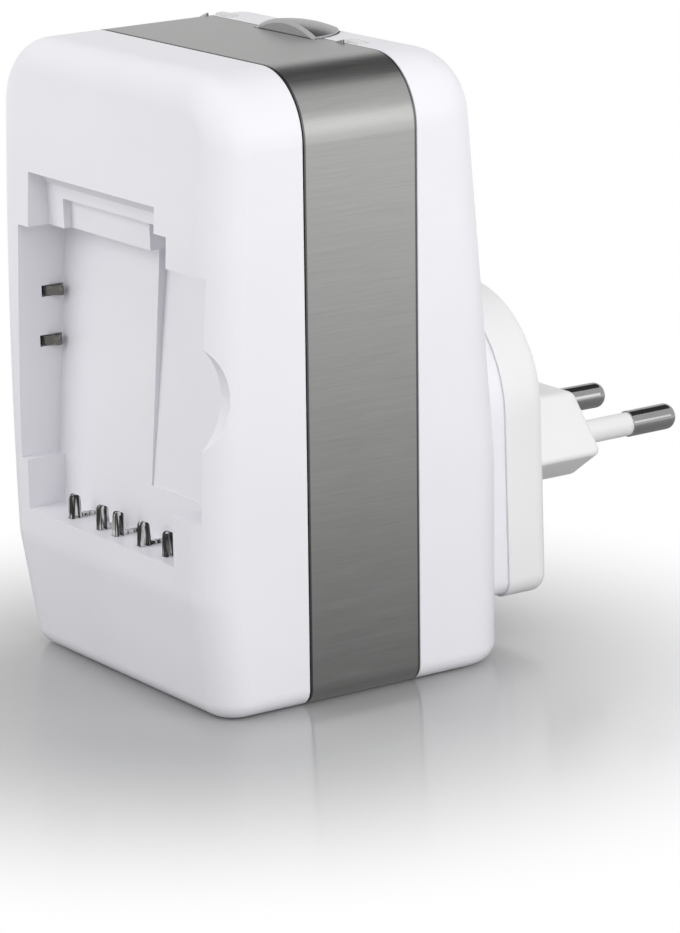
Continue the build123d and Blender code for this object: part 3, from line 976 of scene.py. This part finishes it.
@dataclass
class Electronics:
    """Board, what stands on it and the screws, inside the housing."""

    finishes: tuple[tuple[Finish, tuple[str, ...]], ...] = (
        (BOARD, ("circuit_board",)),
        (CABLE, ("contact_ribbon",)),
        (CORE, ("transformer_core",)),
        (TAPE, ("transformer_winding",)),
        (FUSE, ("mains_fuse",)),
        (ZINC, ("case_screws",)),
        (DARK, ("contact_carrier", "bridge_rectifier", "charge_controller")),
        (SLEEVE_FILM, ("mains_capacitor", "output_capacitor")),
        (BRASS, ("mains_terminal_left", "mains_terminal_right")),
    )

    def build(self) -> None:
        """Dress the inner pieces."""
        for finish, names in self.finishes:
            dress(names, finish)


@dataclass(frozen=True)
class Lamp:
    """A soft box of the studio, which lights without showing in gloss."""

    name: str
    place: Triple
    aim: Triple
    size: float
    power: float

    def hang(self) -> None:
        """Make the lamp and turn it to what it lights."""
        light = bpy.data.lights.new(self.name, "AREA")
        light.shape = "SQUARE"
        light.size = self.size
        light.energy = self.power
        lamp = bpy.data.objects.new(self.name, light)
        bpy.context.scene.collection.objects.link(lamp)
        look = (Vector(self.aim) - Vector(self.place)).to_track_quat("-Z", "Y")
        lamp.matrix_world = Matrix.Translation(self.place) @ look.to_matrix().to_4x4()
        lamp.visible_camera = False
        lamp.visible_glossy = False


@dataclass(frozen=True)
class Card:
    """A round grey card that only reflections see."""

    name: str
    middle: Triple
    aim: Triple
    radius: float
    level: float
    sides: int = 48

    def hang(self) -> None:
        """Make the card, turn it and keep it out of the view and of the light."""
        disc = bmesh.new()
        bmesh.ops.create_circle(disc, cap_ends=True, segments=self.sides, radius=self.radius)
        facing = (Vector(self.aim) - Vector(self.middle)).to_track_quat("Z", "Y").to_matrix()
        bmesh.ops.rotate(disc, cent=ORIGIN, matrix=facing, verts=disc.verts)
        bmesh.ops.translate(disc, vec=self.middle, verts=disc.verts)
        material = blank_material(self.name)
        shade = Shade(material.node_tree)
        shade.close(shade.glow(grey(self.level)))
        hung = set_down(self.name, disc, material)
        hung.visible_camera = False
        hung.visible_diffuse = False
        hung.visible_shadow = False
        hung.visible_transmission = False


@dataclass
class Studio:
    """Camera, pale floor, soft boxes and white surroundings.

    The floor clears to white round clear_middle, over the distances in clear_reach. Reflections see
    it rise from gloss_near to gloss_far over gloss_reach instead, and gloss_sky above it.
    """

    camera_place: Triple = (0.530157, -0.326371, 0.189384)
    camera_up: Triple = (-0.1929, 0.16476, 0.96729)
    camera_back: Triple = (0.81391, -0.52373, 0.25152)
    camera_near: float = 0.01
    lens_mm: float = 169.783
    sensor_mm: float = 36.0
    floor_radius: float = 3.0
    floor_sides: int = 96
    floor_level: float = -0.1 * MM
    floor_colour: Colour = (0.42, 0.42, 0.425)
    floor_roughness: float = 0.14
    clear_middle: Triple = (0.012, -0.012, 0.0)
    clear_reach: Span = (0.025, 0.1)
    gloss_near: float = 0.2
    gloss_far: float = 1.0
    gloss_reach: Span = (0.03, 0.4)
    gloss_sky: float = 0.72
    ambient: float = 0.53
    white: float = 1.0
    lamps: tuple[Lamp, ...] = (
        Lamp("side_box", (0.3, 0.03, 0.15), aim=(0.0, 0.01, 0.06), size=0.3, power=0.68),
        Lamp("front_box", (-0.1, -0.3, 0.2), aim=(0.0, 0.0, 0.06), size=0.3, power=0.62),
        Lamp("back_box", (-0.12, 0.3, 0.6), aim=(0.0, 0.0, 0.05), size=0.4, power=0.72),
    )
    cards: tuple[Card, ...] = (
        Card("ceiling_card", (-0.17, 0.36, 0.62), aim=(0.0, 0.0, 0.09), radius=0.33, level=0.06),
        Card("shine_card", (0.6, 0.38, 0.2), aim=(0.0, 0.0, 0.08), radius=0.15, level=1.7),
    )

    def build(self) -> None:
        """Set up the whole studio."""
        self._camera()
        self._floor()
        self._world()
        for lamp in self.lamps:
            lamp.hang()
        for card in self.cards:
            card.hang()
        bpy.context.scene.view_settings.view_transform = "Standard"

    def _camera(self) -> None:
        """Stand the camera where the picture was taken from."""
        data = bpy.data.cameras.new("camera")
        data.lens = self.lens_mm
        data.sensor_width = self.sensor_mm
        data.clip_start = self.camera_near
        camera = bpy.data.objects.new("camera", data)
        bpy.context.scene.collection.objects.link(camera)
        up = Vector(self.camera_up)
        back = Vector(self.camera_back)
        axes = Matrix((up.cross(back), up, back)).transposed()
        camera.matrix_world = Matrix.Translation(self.camera_place) @ axes.to_4x4()
        bpy.context.scene.camera = camera

    def _floor(self) -> None:
        """Lay the floor just under the object."""
        disc = bmesh.new()
        bmesh.ops.create_circle(
            disc, cap_ends=True, segments=self.floor_sides, radius=self.floor_radius
        )
        bmesh.ops.translate(disc, vec=(0.0, 0.0, self.floor_level), verts=disc.verts)
        floor = set_down("floor", disc, self._floor_material())

    def _floor_material(self) -> bpy.types.Material:
        """A pale floor that keeps the shadow and clears to white away from the object.

        Returns:
            The floor's material.
        """
        material = blank_material("pale_floor")
        shade = Shade(material.node_tree)
        seen = shade.ray(Ray.CAMERA) + shade.ray(Ray.THROUGH)
        clear = self._distance(shade, self.clear_middle).ramp(*self.clear_reach) * seen
        surface = {"Base Color": self.floor_colour, "Roughness": self.floor_roughness}
        pale = shade.node("ShaderNodeBsdfPrincipled", inputs=surface)
        cleared = shade.blend(clear, pale, shade.glow(grey(self.white)))
        rise = self._distance(shade, ORIGIN).ramp(*self.gloss_reach, smooth=False)
        graded = shade.tint(rise, grey(self.gloss_near), grey(self.gloss_far))
        shade.close(shade.blend(shade.ray(Ray.GLOSSY), cleared, shade.glow(graded)))
        return material

    @staticmethod
    def _distance(shade: Shade, middle: Triple) -> Sock:
        """Distance over the floor from a point."""
        return shade.vector("LENGTH", shade.place(centre=middle), output="Value")

    def _world(self) -> None:
        """White surroundings, which light the object at a plain level."""
        world = bpy.data.worlds.new("surroundings")
        world.use_nodes = True
        bpy.context.scene.world = world
        shade = Shade(world.node_tree)
        seen = (shade.ray(Ray.CAMERA) + shade.ray(Ray.THROUGH)).at_most(1.0)
        unseen = shade.tint(shade.ray(Ray.GLOSSY), grey(self.ambient), grey(self.gloss_sky))
        level = shade.tint(seen, unseen, grey(self.white))
        ground = shade.node("ShaderNodeBackground", inputs={"Color": level})
        shade.node("ShaderNodeOutputWorld", inputs={"Surface": ground})


def main() -> None:
    """Build the sub-assemblies and the studio in order."""
    logging.basicConfig(level=logging.INFO, format="%(message)s")
    for assembly in (Housing(), BatteryBay(), TopControls(), PlugEnd(), Electronics(), Studio()):
        assembly.build()
        LOG.info("built %s", type(assembly).__name__)


if __name__ == "__main__":
    main()
